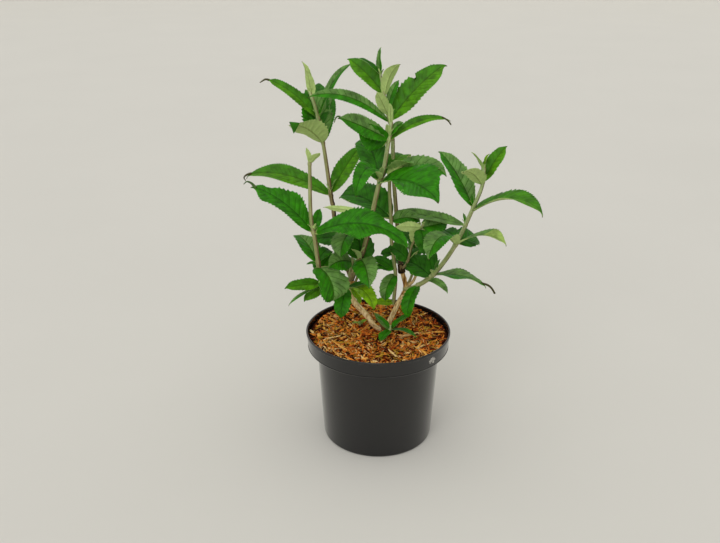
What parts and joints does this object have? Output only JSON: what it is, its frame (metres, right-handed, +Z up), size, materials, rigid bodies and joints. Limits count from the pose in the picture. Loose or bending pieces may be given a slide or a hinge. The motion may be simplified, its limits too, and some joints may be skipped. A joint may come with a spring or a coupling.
{
  "type": "potted butterfly bush",
  "caption": "Young butterfly bush in a black nursery pot: woody limbs fork low and carry upright leafy shoots with pairs of toothed lance-shaped leaves.",
  "frame": {"origin": "centre of the pot's flat underside, on the surface that the pot stands on", "axes": "+Z up, the front of the plant faces -Y, +X to the viewer's right"},
  "size_m": [0.3685, 0.19, 0.5116],
  "materials": {
    "pot_plastic": "glossy black injection-moulded plastic, lightly scuffed",
    "potting_mix": "loose orange-brown coir and bark chips, dull",
    "bark": "light tan fibrous bark, dull, dark at pruned ends",
    "young_bark": "smooth olive to purplish-brown young stems, satin",
    "foliage": "mid-green leaves with a soft sheen above and pale grey-green felt below"
  },
  "bodies": {
    "root": {"pot": "pot_plastic", "root_ball": "potting_mix", "stem_base": "bark", "left_limb": "bark", "right_limb": "bark", "left_arm": "bark", "right_knob": "bark", "right_snag": "bark", "back_stem": "young_bark", "leaning_stem": "young_bark", "tall_stem": "young_bark", "right_spur": "young_bark", "far_left_shoot": "foliage", "left_shoot": "foliage", "leaning_shoot": "foliage", "tall_shoot": "foliage", "middle_shoot": "foliage", "right_shoot": "foliage", "inner_left_shoot": "foliage", "back_left_shoot": "foliage", "front_left_shoot": "foliage", "centre_shoot": "foliage", "back_right_shoot": "foliage", "front_sprout": "foliage", "mix_sprout": "foliage"}
  },
  "joints": []
}
